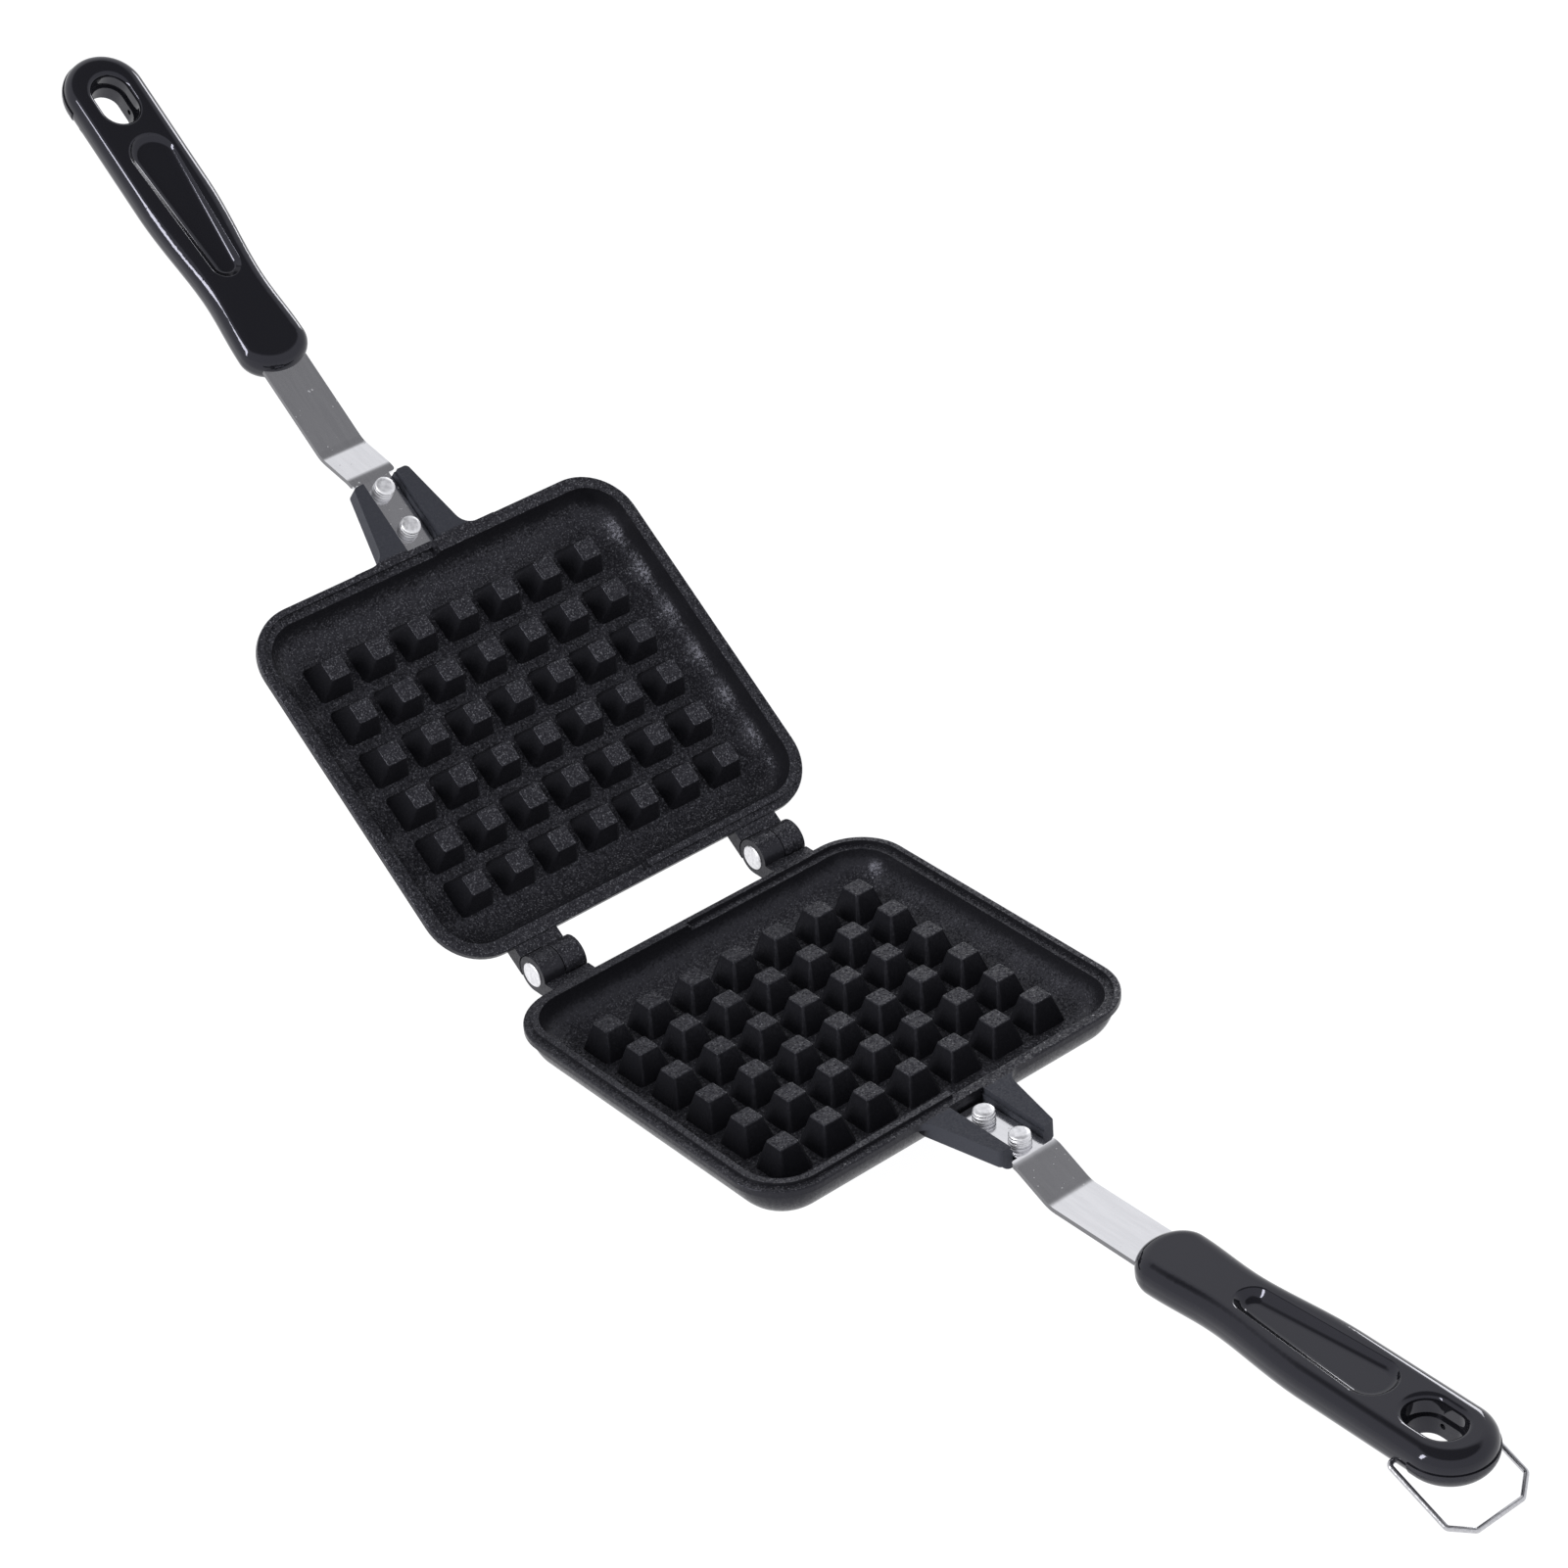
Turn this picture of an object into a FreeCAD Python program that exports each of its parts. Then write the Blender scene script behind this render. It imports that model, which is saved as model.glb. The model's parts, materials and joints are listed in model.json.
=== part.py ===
import FreeCAD, Part
import math
import os

from FreeCAD import Vector

# Each half is drawn with the hinge axis on X, the handle toward +Y and the parting plane at Z = 0.

# Pan casting
PAN_WIDTH = 131.8
PAN_LENGTH = 117.2
PAN_DEPTH = 14.0
PAN_CORNER = 16.5
HINGE_TO_RIM = 9.25
PARTING_GAP = 0.3
RIM_EDGE_ROUND = 0.5
FLANGE_HEIGHT = 2.0
BODY_INSET = 1.6
BODY_BOTTOM_ROUND = 12.0

# Baking cavity
CAVITY_INSET = 4.4
BASE_THICKNESS = 4.0
CAVITY_ROUND = 9.2

# Rim bead on one side of the middle, recess for the other half's bead on the other side
BEAD_WIDTH = 2.0
BEAD_HEIGHT = 1.0
BEAD_END = 2.4
BEAD_SIDE_GAP = 0.4
BEAD_TOP_GAP = 0.35
BEAD_END_GAP = 0.9

# Pegs
PEG_COLUMNS = 7
PEG_ROWS = 6
PEG_MARGIN_X = 20.9
PEG_MARGIN_Y = 21.75
PEG_TOP_WIDTH = 6.3
PEG_FOOT_WIDTH = 11.6
PEG_TOP_CORNER = 0.7
PEG_FOOT_CORNER = 1.6
PEG_BELOW_PARTING = 1.6
PEG_EDGE_ROUND = 0.35
PEG_ROOT = 1.0

# Hinge
HINGE_FROM_SIDE = 26.2
HINGE_WIDTH = 14.8
BAND_STEP = 0.4
BAND_OVERLAP = 1.0
KNUCKLE_GAP = 0.3
KNUCKLE_RADIUS = 5.5
KNUCKLE_SWEEP_GAP = 0.5
PIN_RADIUS = 3.3
PIN_CLEARANCE = 0.05
PIN_HEAD_RADIUS = 3.75
PIN_HEAD_HEIGHT = 0.6
PIN_HEAD_ROUND = 0.48
PIN_END_GAP = 0.3

# Handle lug on the casting
LUG_ROOT_HALF = 14.6
LUG_END_HALF = 9.5
LUG_LENGTH = 24.0
LUG_DEPTH = 5.2
LUG_FLOOR = 2.0
LUG_FLOOR_SIDE = 1.5
LUG_FLARE = 5.0
LUG_FLARE_STRIP = 10.0
LUG_END_ROUND = 1.5
POCKET_HALF = 6.0
POCKET_LEDGE = 0.6
POCKET_LEDGE_DEPTH = 1.8

# Strap
STRAP_WIDTH = 15.0
STRAP_THICKNESS = 1.5
TONGUE_WIDTH = 10.2
TONGUE_END_GAP = 0.85
TONGUE_TOP = 3.7
SHOULDER_GAP = 1.4
UPPER_BEND_GAP = 2.8
LOWER_BEND_RUN = 12.9
STRAP_DROP = 6.2
STRAP_BEND_ROUND = 9.0
STRAP_CORNER = 1.0
TANG_LENGTH = 62.0

# Rivets
RIVET_POSITIONS = (7.0, 20.9)
RIVET_HEAD_RADIUS = 3.2
RIVET_WAIST_RADIUS = 2.9
RIVET_SHANK_RADIUS = 2.2
RIVET_HOLE_GAP = 0.05
RIVET_TOP_GAP = 0.2
RIVET_CAP_HEIGHT = 2.0
RIVET_TAIL_RADIUS = 3.6
RIVET_TAIL_HEIGHT = 1.6
RIVET_ROUND = 0.7

# Handle grip
GRIP_FROM_RIM = 69.05
GRIP_LENGTH = 114.7
GRIP_TOP = 6.3
GRIP_THICKNESS = 11.2
GRIP_HALF = 12.45
NOSE_HALF = 11.1
NOSE_LENGTH = 9.0
WAIST_HALF = 10.05
WAIST_AT = 28.0
SWELL_AT = 64.0
GRIP_TOP_ROUND = 4.2
GRIP_BOTTOM_ROUND = 5.8

# Thumb scoop
SCOOP_FROM_NOSE = 32.6
SCOOP_LENGTH = 52.0
SCOOP_NARROW = 4.6
SCOOP_WIDE = 7.7
SCOOP_DEPTH = 2.1
SCOOP_SLOPE = 1.7
SCOOP_TILT = 1.5
SCOOP_FLOOR_ROUND = 3.0
SCOOP_RIM_ROUND = 0.5

# Hanging hole
HOLE_FROM_TIP = 16.8
HOLE_LENGTH = 16.8
HOLE_HALF = 5.9
HOLE_STEP = 0.8
HOLE_STEP_DEPTH = 6.0
HOLE_RIM_ROUND = 1.6

# End cap under the tip
CAP_LENGTH = 14.2
CAP_SEAM = 5.0
CAP_STEP = 0.35
CAP_RING = 1.8

# Wire bail
WIRE_RADIUS = 0.75
WIRE_CLEARANCE = 0.08
WIRE_SIDE_GAP = 0.35
WIRE_END_INSET = 0.8
WIRE_BEND_ROUND = 1.3
BAIL_PIVOT_FROM_TIP = 18.9
BAIL_PIVOT_BELOW = 14.0
BAIL_LEG = 20.6
BAIL_REACH = 25.2
BAIL_BAR_HALF = 8.0
BAIL_DROOP = 22.6

# Pose
UPPER_TILT = 38.06

# Tolerances for picking edges and overshoot of cutting tools
TOUCH = 0.01
UPRIGHT = 0.999
OVERSHOOT = 1.0

# Levels and places that follow
RIM_TOP = -PARTING_GAP / 2
RIM_FAR = HINGE_TO_RIM + PAN_LENGTH
PAN_MIDDLE = HINGE_TO_RIM + PAN_LENGTH / 2
FLANGE_BOTTOM = RIM_TOP - FLANGE_HEIGHT
CAVITY_FLOOR = BASE_THICKNESS - PAN_DEPTH
RECESS_FLOOR = RIM_TOP - BEAD_HEIGHT - BEAD_TOP_GAP
PEG_PITCH_X = (PAN_WIDTH - 2 * PEG_MARGIN_X) / (PEG_COLUMNS - 1)
PEG_PITCH_Y = (PAN_LENGTH - 2 * PEG_MARGIN_Y) / (PEG_ROWS - 1)
HINGE_OFFSET = PAN_WIDTH / 2 - HINGE_FROM_SIDE
TONGUE_BOTTOM = -TONGUE_TOP - STRAP_THICKNESS
CHEEK_BOTTOM = RIM_TOP - LUG_DEPTH
LUG_BOTTOM = TONGUE_BOTTOM - LUG_FLOOR
LUG_END = RIM_FAR + LUG_LENGTH
GRIP_START = RIM_FAR + GRIP_FROM_RIM
GRIP_END = GRIP_START + GRIP_LENGTH
SCOOP_START = GRIP_START + SCOOP_FROM_NOSE
SCOOP_END = SCOOP_START + SCOOP_LENGTH
HOLE_AT = GRIP_END - HOLE_FROM_TIP
CAP_START = GRIP_END - CAP_LENGTH
GRIP_TOP_Z = -GRIP_TOP
GRIP_BOTTOM_Z = GRIP_TOP_Z - GRIP_THICKNESS
TIP_CENTRE = GRIP_END - GRIP_HALF
SEAM_Z = GRIP_TOP_Z - CAP_SEAM
STEP_Z = GRIP_TOP_Z - HOLE_STEP_DEPTH
KNUCKLE_LENGTH = (HINGE_WIDTH - KNUCKLE_GAP) / 2
BAIL_LEG_X = GRIP_HALF + CAP_STEP + WIRE_SIDE_GAP + WIRE_RADIUS
BAIL_PIVOT_AT = GRIP_END - BAIL_PIVOT_FROM_TIP
BAIL_PIVOT = Vector(0, BAIL_PIVOT_AT, -BAIL_PIVOT_BELOW)
X_AXIS = Vector(1, 0, 0)
Y_AXIS = Vector(0, 1, 0)
Z_AXIS = Vector(0, 0, 1)
ORIGIN = Vector(0, 0, 0)


def box(x, y, z):
    """Box between the pairs of limits x, y and z."""
    return Part.makeBox(x[1] - x[0], y[1] - y[0], z[1] - z[0], Vector(x[0], y[0], z[0]))


def rod_x(radius, start, end, y=0, z=0):
    """Round rod along X."""
    return Part.makeCylinder(radius, end - start, Vector(start, y, z), X_AXIS)


def rod_z(radius, y, z):
    """Round upright rod on the middle line between the limits z."""
    return Part.makeCylinder(radius, z[1] - z[0], Vector(0, y, z[0]))


def upright_edges(shape):
    """Straight edges along Z."""
    found = []
    for edge in shape.Edges:
        ends = [vertex.Point for vertex in edge.Vertexes]
        if len(ends) == 2 and abs((ends[1] - ends[0]).normalize().z) > UPRIGHT:
            found.append(edge)
    return found


def edges_at(shape, z, half_x=None, y=None):
    """Edges lying in the level z, within half_x of the middle and the limits y."""
    found = []
    for edge in shape.Edges:
        limits = edge.BoundBox
        if abs(limits.ZMin - z) > TOUCH or abs(limits.ZMax - z) > TOUCH:
            continue
        if half_x and max(-limits.XMin, limits.XMax) > half_x + TOUCH:
            continue
        if y and (limits.YMin < y[0] - TOUCH or limits.YMax > y[1] + TOUCH):
            continue
        found.append(edge)
    return found


def prism(points, z):
    """Upright prism on a closed outline of X, Y points between the limits z."""
    corners = [Vector(x, y, z[0]) for x, y in points]
    outline = Part.makePolygon(corners + corners[:1])
    return Part.Face(outline).extrude(Vector(0, 0, z[1] - z[0]))


def rounded_path(points, radius):
    """Straight runs joined by arcs of one radius."""
    edges = []
    start = points[0]
    for before, corner, after in zip(points, points[1:], points[2:]):
        back = (before - corner).normalize()
        ahead = (after - corner).normalize()
        half_angle = back.getAngle(ahead) / 2
        first = corner + back * (radius / math.tan(half_angle))
        last = corner + ahead * (radius / math.tan(half_angle))
        middle = corner + (back + ahead).normalize() * (radius / math.sin(half_angle) - radius)
        edges.append(Part.makeLine(start, first))
        edges.append(Part.Arc(first, middle, last).toShape())
        start = last
    edges.append(Part.makeLine(start, points[-1]))
    return Part.Wire(edges)


def pan_block(inset, z, bottom_round=0):
    """Block with the pan's rounded outline, set in from the rim, between the limits z."""
    half = PAN_WIDTH / 2 - inset
    block = box((-half, half), (HINGE_TO_RIM + inset, RIM_FAR - inset), z)
    block = block.makeFillet(PAN_CORNER - inset, upright_edges(block))
    if bottom_round:
        block = block.makeFillet(bottom_round, edges_at(block, z[0]))
    return block


def pan_dish():
    """Flange and body with the baking cavity."""
    flange = pan_block(0, (FLANGE_BOTTOM, RIM_TOP))
    flange = flange.makeFillet(RIM_EDGE_ROUND, edges_at(flange, RIM_TOP))
    body = pan_block(BODY_INSET, (-PAN_DEPTH, RIM_TOP), BODY_BOTTOM_ROUND)
    cavity = pan_block(CAVITY_INSET, (CAVITY_FLOOR, BEAD_HEIGHT), CAVITY_ROUND)
    return flange.fuse(body).cut(cavity)


def rim_ring(outer, inner, z):
    """Ring between two insets from the rim's edge and the limits z."""
    return pan_block(outer, z).cut(pan_block(inner, (z[0] - BEAD_HEIGHT, z[1] + BEAD_HEIGHT)))


def rim_bead():
    """Raised bead on the +X side of the middle."""
    side = box((BEAD_END, PAN_WIDTH), (0, LUG_END), (-PAN_DEPTH, PAN_DEPTH))
    ring = rim_ring(CAVITY_INSET - BEAD_WIDTH, CAVITY_INSET, (RIM_TOP, RIM_TOP + BEAD_HEIGHT))
    return ring.common(side)


def rim_recess():
    """Room on the -X side for the bead of the other half."""
    side = box((-PAN_WIDTH, BEAD_END - BEAD_END_GAP), (0, LUG_END), (-PAN_DEPTH, PAN_DEPTH))
    outer = CAVITY_INSET - BEAD_WIDTH - BEAD_SIDE_GAP
    inner = CAVITY_INSET + BEAD_SIDE_GAP
    return rim_ring(outer, inner, (RECESS_FLOOR, RIM_TOP + BEAD_HEIGHT)).common(side)


def rounded_square(width, corner, z):
    """Square outline with round corners about the origin at level z."""
    half = width / 2
    corners = [(0, -half), (half, -half), (half, half), (-half, half), (-half, -half), (0, -half)]
    return rounded_path([Vector(x, y, z) for x, y in corners], corner)


def pegs():
    """Field of tapered pegs rooted in the cavity floor."""
    top = -PEG_BELOW_PARTING
    root = PEG_ROOT / (top - CAVITY_FLOOR)
    foot_width = PEG_FOOT_WIDTH + (PEG_FOOT_WIDTH - PEG_TOP_WIDTH) * root
    foot_corner = PEG_FOOT_CORNER + (PEG_FOOT_CORNER - PEG_TOP_CORNER) * root
    foot = rounded_square(foot_width, foot_corner, CAVITY_FLOOR - PEG_ROOT)
    peg = Part.makeLoft([foot, rounded_square(PEG_TOP_WIDTH, PEG_TOP_CORNER, top)], True, True)
    peg = peg.makeFillet(PEG_EDGE_ROUND, edges_at(peg, top))
    field = []
    for column in range(PEG_COLUMNS):
        for row in range(PEG_ROWS):
            x = (column - (PEG_COLUMNS - 1) / 2) * PEG_PITCH_X
            y = PAN_MIDDLE + (row - (PEG_ROWS - 1) / 2) * PEG_PITCH_Y
            field.append(peg.translated(Vector(x, y, 0)))
    return field


def hinge_side(centre):
    """Band along the rim and this half's knuckle at one hinge."""
    ends = (centre - HINGE_WIDTH / 2, centre + HINGE_WIDTH / 2)
    levels = (-KNUCKLE_RADIUS, RIM_TOP - BAND_STEP)
    behind_rim = HINGE_TO_RIM + BODY_INSET + BAND_OVERLAP
    band = box(ends, (0, behind_rim), levels)
    band = band.cut(rod_x(KNUCKLE_RADIUS + KNUCKLE_SWEEP_GAP, *ends))
    knuckle_ends = (ends[1] - KNUCKLE_LENGTH, ends[1])
    neck = box(knuckle_ends, (0, behind_rim), levels)
    return [band, neck, rod_x(KNUCKLE_RADIUS, *knuckle_ends)]


def lug_outline():
    """Outline of the lug from its root to its end and back."""
    return [
        (-LUG_ROOT_HALF, RIM_FAR),
        (-LUG_END_HALF, LUG_END),
        (LUG_END_HALF, LUG_END),
        (LUG_ROOT_HALF, RIM_FAR),
    ]


def round_lug(piece, flare=0):
    """Rounds the far corners of a lug layer and, with a flare, the corners at its root."""
    far = [edge for edge in upright_edges(piece) if edge.BoundBox.YMin > LUG_END - TOUCH]
    piece = piece.makeFillet(LUG_END_ROUND, far)
    root = [edge for edge in upright_edges(piece) if abs(abs(edge.BoundBox.XMax) - LUG_ROOT_HALF) < TOUCH]
    return piece.makeFillet(flare, root) if flare else piece


def lug():
    """Bracket for the strap: a layer flared into the rim, the cheeks and the floor between them."""
    inside = RIM_FAR - CAVITY_INSET
    wide = LUG_ROOT_HALF + LUG_FLARE_STRIP
    edge_strip = [(wide, RIM_FAR), (wide, inside), (-wide, inside), (-wide, RIM_FAR)]
    root_strip = [(LUG_ROOT_HALF, inside), (-LUG_ROOT_HALF, inside)]
    top = prism(lug_outline() + edge_strip, (FLANGE_BOTTOM, RIM_TOP))
    cheeks = prism(lug_outline() + root_strip, (CHEEK_BOTTOM, FLANGE_BOTTOM))
    floor_half = POCKET_HALF + LUG_FLOOR_SIDE
    floor = box((-floor_half, floor_half), (inside, LUG_END), (LUG_BOTTOM, CHEEK_BOTTOM))
    return [round_lug(top, LUG_FLARE), round_lug(cheeks), round_lug(floor)]


def lug_pocket():
    """Open-ended pocket for the strap's tongue, with a ledge along each cheek."""
    beyond = LUG_END + LUG_FLOOR
    low_half = POCKET_HALF - POCKET_LEDGE
    low = box((-low_half, low_half), (RIM_FAR, beyond), (TONGUE_BOTTOM, PAN_DEPTH))
    high = box((-POCKET_HALF, POCKET_HALF), (RIM_FAR, beyond), (-POCKET_LEDGE_DEPTH, PAN_DEPTH))
    return low.fuse(high)


def rivet_holes():
    """Holes for the rivet shanks through strap and lug floor."""
    radius = RIVET_SHANK_RADIUS + RIVET_HOLE_GAP
    return [rod_z(radius, RIM_FAR + at, (LUG_BOTTOM - OVERSHOOT, 0)) for at in RIVET_POSITIONS]


def plate():
    """One pan half as cast."""
    half = pan_dish().fuse(lug())
    for centre in (-HINGE_OFFSET, HINGE_OFFSET):
        half = half.fuse(hinge_side(centre))
    half = half.cut(rim_recess()).fuse([rim_bead()] + pegs())
    bore = rod_x(PIN_RADIUS + PIN_CLEARANCE, -PAN_WIDTH, PAN_WIDTH)
    half = half.cut([lug_pocket(), bore] + rivet_holes())
    return half.removeSplitter()


def pin(centre):
    """Hinge pin with peened ends."""
    start = centre - HINGE_WIDTH / 2
    end = centre + HINGE_WIDTH / 2 + PIN_END_GAP
    near_head = rod_x(PIN_HEAD_RADIUS, start - PIN_HEAD_HEIGHT, start)
    far_head = rod_x(PIN_HEAD_RADIUS, end, end + PIN_HEAD_HEIGHT)
    whole = rod_x(PIN_RADIUS, start, end).fuse([near_head, far_head])
    faces = (start - PIN_HEAD_HEIGHT, end + PIN_HEAD_HEIGHT)
    flat = [edge for edge in whole.Edges if edge.BoundBox.XLength < TOUCH]
    rims = [edge for edge in flat if min(abs(edge.BoundBox.XMin - x) for x in faces) < TOUCH]
    return whole.makeFillet(PIN_HEAD_ROUND, rims)


def strap():
    """Bent strap: tongue in the pocket, shoulders, two bends and the tang inside the grip."""
    level = -TONGUE_TOP - STRAP_THICKNESS / 2
    tongue_end = RIM_FAR + TONGUE_END_GAP
    first_bend = LUG_END + UPPER_BEND_GAP
    second_bend = first_bend + LOWER_BEND_RUN
    tang_end = GRIP_START + TANG_LENGTH
    path = rounded_path(
        [
            Vector(0, tongue_end, level),
            Vector(0, first_bend, level),
            Vector(0, second_bend, level - STRAP_DROP),
            Vector(0, tang_end, level - STRAP_DROP),
        ],
        STRAP_BEND_ROUND,
    )
    half = STRAP_WIDTH / 2
    low, high = level - STRAP_THICKNESS / 2, level + STRAP_THICKNESS / 2
    corners = [Vector(x, tongue_end, z) for x, z in ((-half, low), (half, low), (half, high), (-half, high))]
    band = path.makePipeShell([Part.makePolygon(corners + corners[:1])], True, False)
    height = (LUG_BOTTOM - PAN_DEPTH, 0)
    shoulder = LUG_END + SHOULDER_GAP
    wide = box((-half, half), (shoulder, tang_end + STRAP_CORNER), height)
    tongue = box((-TONGUE_WIDTH / 2, TONGUE_WIDTH / 2), (tongue_end, shoulder + half), height)
    plan = wide.makeFillet(STRAP_CORNER, upright_edges(wide))
    plan = plan.fuse(tongue.makeFillet(STRAP_CORNER, upright_edges(tongue)))
    return band.common(plan).cut(rivet_holes())


def rivet(at):
    """Stepped rivet head on the strap, shank and closed tail under the lug."""
    y = RIM_FAR + at
    cap = rod_z(RIVET_HEAD_RADIUS, y, (-RIVET_TOP_GAP - RIVET_CAP_HEIGHT, -RIVET_TOP_GAP))
    cap = cap.makeFillet(RIVET_ROUND, edges_at(cap, -RIVET_TOP_GAP))
    waist = rod_z(RIVET_WAIST_RADIUS, y, (-TONGUE_TOP, -RIVET_TOP_GAP - RIVET_CAP_HEIGHT))
    shank = rod_z(RIVET_SHANK_RADIUS, y, (LUG_BOTTOM, -TONGUE_TOP))
    tail_level = LUG_BOTTOM - RIVET_TAIL_HEIGHT
    tail = rod_z(RIVET_TAIL_RADIUS, y, (tail_level, LUG_BOTTOM))
    tail = tail.makeFillet(RIVET_ROUND, edges_at(tail, tail_level))
    return cap.fuse([waist, shank, tail]).removeSplitter()


def grip_side(sign):
    """Side line of the grip: a curve from the nose over the waist, then straight to the tip."""
    points = [
        Vector(sign * NOSE_HALF, GRIP_START + NOSE_LENGTH, GRIP_BOTTOM_Z),
        Vector(sign * WAIST_HALF, GRIP_START + WAIST_AT, GRIP_BOTTOM_Z),
        Vector(sign * GRIP_HALF, GRIP_START + SWELL_AT, GRIP_BOTTOM_Z),
    ]
    curve = Part.BSplineCurve()
    curve.interpolate(Points=points, InitialTangent=Y_AXIS, FinalTangent=Y_AXIS)
    straight = Part.makeLine(points[-1], Vector(sign * GRIP_HALF, TIP_CENTRE, GRIP_BOTTOM_Z))
    return [curve.toShape(), straight]


def grip_blank():
    """Grip with rounded edges before its openings are cut."""
    nose_centre = Vector(0, GRIP_START + NOSE_LENGTH, GRIP_BOTTOM_Z)
    nose = Part.Ellipse(nose_centre, NOSE_HALF, NOSE_LENGTH)
    tip = Part.Circle(Vector(0, TIP_CENTRE, GRIP_BOTTOM_Z), Z_AXIS, GRIP_HALF)
    ends = [
        Part.ArcOfEllipse(nose, math.pi, 2 * math.pi).toShape(),
        Part.ArcOfCircle(tip, 0, math.pi).toShape(),
    ]
    outline = Part.Wire(Part.__sortEdges__(ends + grip_side(1) + grip_side(-1)))
    blank = Part.Face(outline).extrude(Vector(0, 0, GRIP_THICKNESS))
    blank = blank.makeFillet(GRIP_TOP_ROUND, edges_at(blank, GRIP_TOP_Z))
    return blank.makeFillet(GRIP_BOTTOM_ROUND, edges_at(blank, GRIP_BOTTOM_Z))


def tapered_outline(narrow, wide, inset, z):
    """Outline round two circles, each given as centre Y and radius, set in and at level z."""
    (y0, r0), (y1, r1) = narrow, wide
    lean = math.asin((r1 - r0) / (y1 - y0))
    r0, r1 = r0 - inset, r1 - inset
    side = Vector(math.cos(lean), -math.sin(lean), 0)
    mirrored = Vector(-side.x, side.y, 0)
    c0, c1 = Vector(0, y0, z), Vector(0, y1, z)
    edges = [
        Part.Arc(c0 + mirrored * r0, c0 - Y_AXIS * r0, c0 + side * r0).toShape(),
        Part.makeLine(c0 + side * r0, c1 + side * r1),
        Part.Arc(c1 + side * r1, c1 + Y_AXIS * r1, c1 + mirrored * r1).toShape(),
        Part.makeLine(c1 + mirrored * r1, c0 + mirrored * r0),
    ]
    return Part.Wire(edges)


def scoop():
    """Tapered thumb scoop with sloping walls, deepest at the narrow end."""
    narrow = (SCOOP_START + SCOOP_NARROW, SCOOP_NARROW)
    wide = (SCOOP_END - SCOOP_WIDE, SCOOP_WIDE)
    floor_z = GRIP_TOP_Z - SCOOP_DEPTH
    mouth = tapered_outline(narrow, wide, -SCOOP_SLOPE, GRIP_TOP_Z + SCOOP_DEPTH)
    floor = tapered_outline(narrow, wide, SCOOP_SLOPE, floor_z)
    tool = Part.makeLoft([floor, mouth], True, True)
    tool = tool.makeFillet(SCOOP_FLOOR_ROUND, edges_at(tool, floor_z))
    middle = Vector(0, (SCOOP_START + SCOOP_END) / 2, GRIP_TOP_Z)
    return tool.rotated(middle, X_AXIS, SCOOP_TILT)


def slot(half_width, length, z):
    """Upright prism with round ends at the hanging hole, between the limits z."""
    reach = length / 2 - half_width
    ends = (HOLE_AT - reach, half_width), (HOLE_AT + reach, half_width)
    outline = tapered_outline(*ends, 0, z[0])
    return Part.Face(outline).extrude(Vector(0, 0, z[1] - z[0]))


def hanging_hole():
    """Oval hole, narrower below the step."""
    wide = slot(HOLE_HALF, HOLE_LENGTH, (STEP_Z, 0))
    narrow = slot(HOLE_HALF - HOLE_STEP, HOLE_LENGTH - 2 * HOLE_STEP, (GRIP_BOTTOM_Z - OVERSHOOT, STEP_Z))
    return wide.fuse(narrow)


def wire_bore():
    """Bore for the bail's ends across the tip."""
    reach = BAIL_LEG_X
    return rod_x(WIRE_RADIUS + WIRE_CLEARANCE, -reach, reach, BAIL_PIVOT_AT, -BAIL_PIVOT_BELOW)


def end_cap():
    """Cap that forms the lower half of the tip and the ring round the hanging hole."""
    radius = GRIP_HALF + CAP_STEP
    levels = (GRIP_BOTTOM_Z, SEAM_Z)
    tip = rod_z(radius, TIP_CENTRE, levels).fuse(box((-radius, radius), (CAP_START, TIP_CENTRE), levels))
    tip = tip.common(box((-radius, radius), (CAP_START, GRIP_END + radius), levels)).removeSplitter()
    under = [edge for edge in edges_at(tip, GRIP_BOTTOM_Z) if edge.BoundBox.YMax > CAP_START + TOUCH]
    tip = tip.makeFillet(GRIP_BOTTOM_ROUND, under)
    ring_half = HOLE_HALF - HOLE_STEP + CAP_RING
    ring = slot(ring_half, HOLE_LENGTH - 2 * HOLE_STEP + 2 * CAP_RING, (GRIP_BOTTOM_Z, STEP_Z))
    return tip.fuse(ring).cut([hanging_hole(), wire_bore()]).removeSplitter()


def grip(tang, cap):
    """Grip moulded round the tang and the end cap."""
    body = grip_blank().cut(scoop())
    mouth_ends = (SCOOP_START - SCOOP_SLOPE, SCOOP_END + SCOOP_SLOPE)
    mouth = edges_at(body, GRIP_TOP_Z, SCOOP_WIDE + SCOOP_SLOPE, mouth_ends)
    body = body.makeFillet(SCOOP_RIM_ROUND, mouth).cut(hanging_hole())
    hole_ends = (HOLE_AT - HOLE_LENGTH / 2, HOLE_AT + HOLE_LENGTH / 2)
    body = body.makeFillet(HOLE_RIM_ROUND, edges_at(body, GRIP_TOP_Z, HOLE_HALF, hole_ends))
    return body.cut([tang, cap, wire_bore()])


def bail():
    """Bent wire loop, drooping from its pivot in the grip."""
    inner = HOLE_HALF - HOLE_STEP + WIRE_END_INSET
    right = [
        (inner, 0),
        (BAIL_LEG_X, 0),
        (BAIL_LEG_X, BAIL_LEG),
        (BAIL_BAR_HALF, BAIL_REACH),
    ]
    left = [(-x, y) for x, y in reversed(right)]
    points = [BAIL_PIVOT + Vector(x, y, 0) for x, y in right + left]
    ring = Part.Wire(Part.makeCircle(WIRE_RADIUS, points[0], X_AXIS))
    loop = rounded_path(points, WIRE_BEND_ROUND).makePipeShell([ring], True, True)
    return loop.rotated(BAIL_PIVOT, X_AXIS, -BAIL_DROOP)


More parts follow.
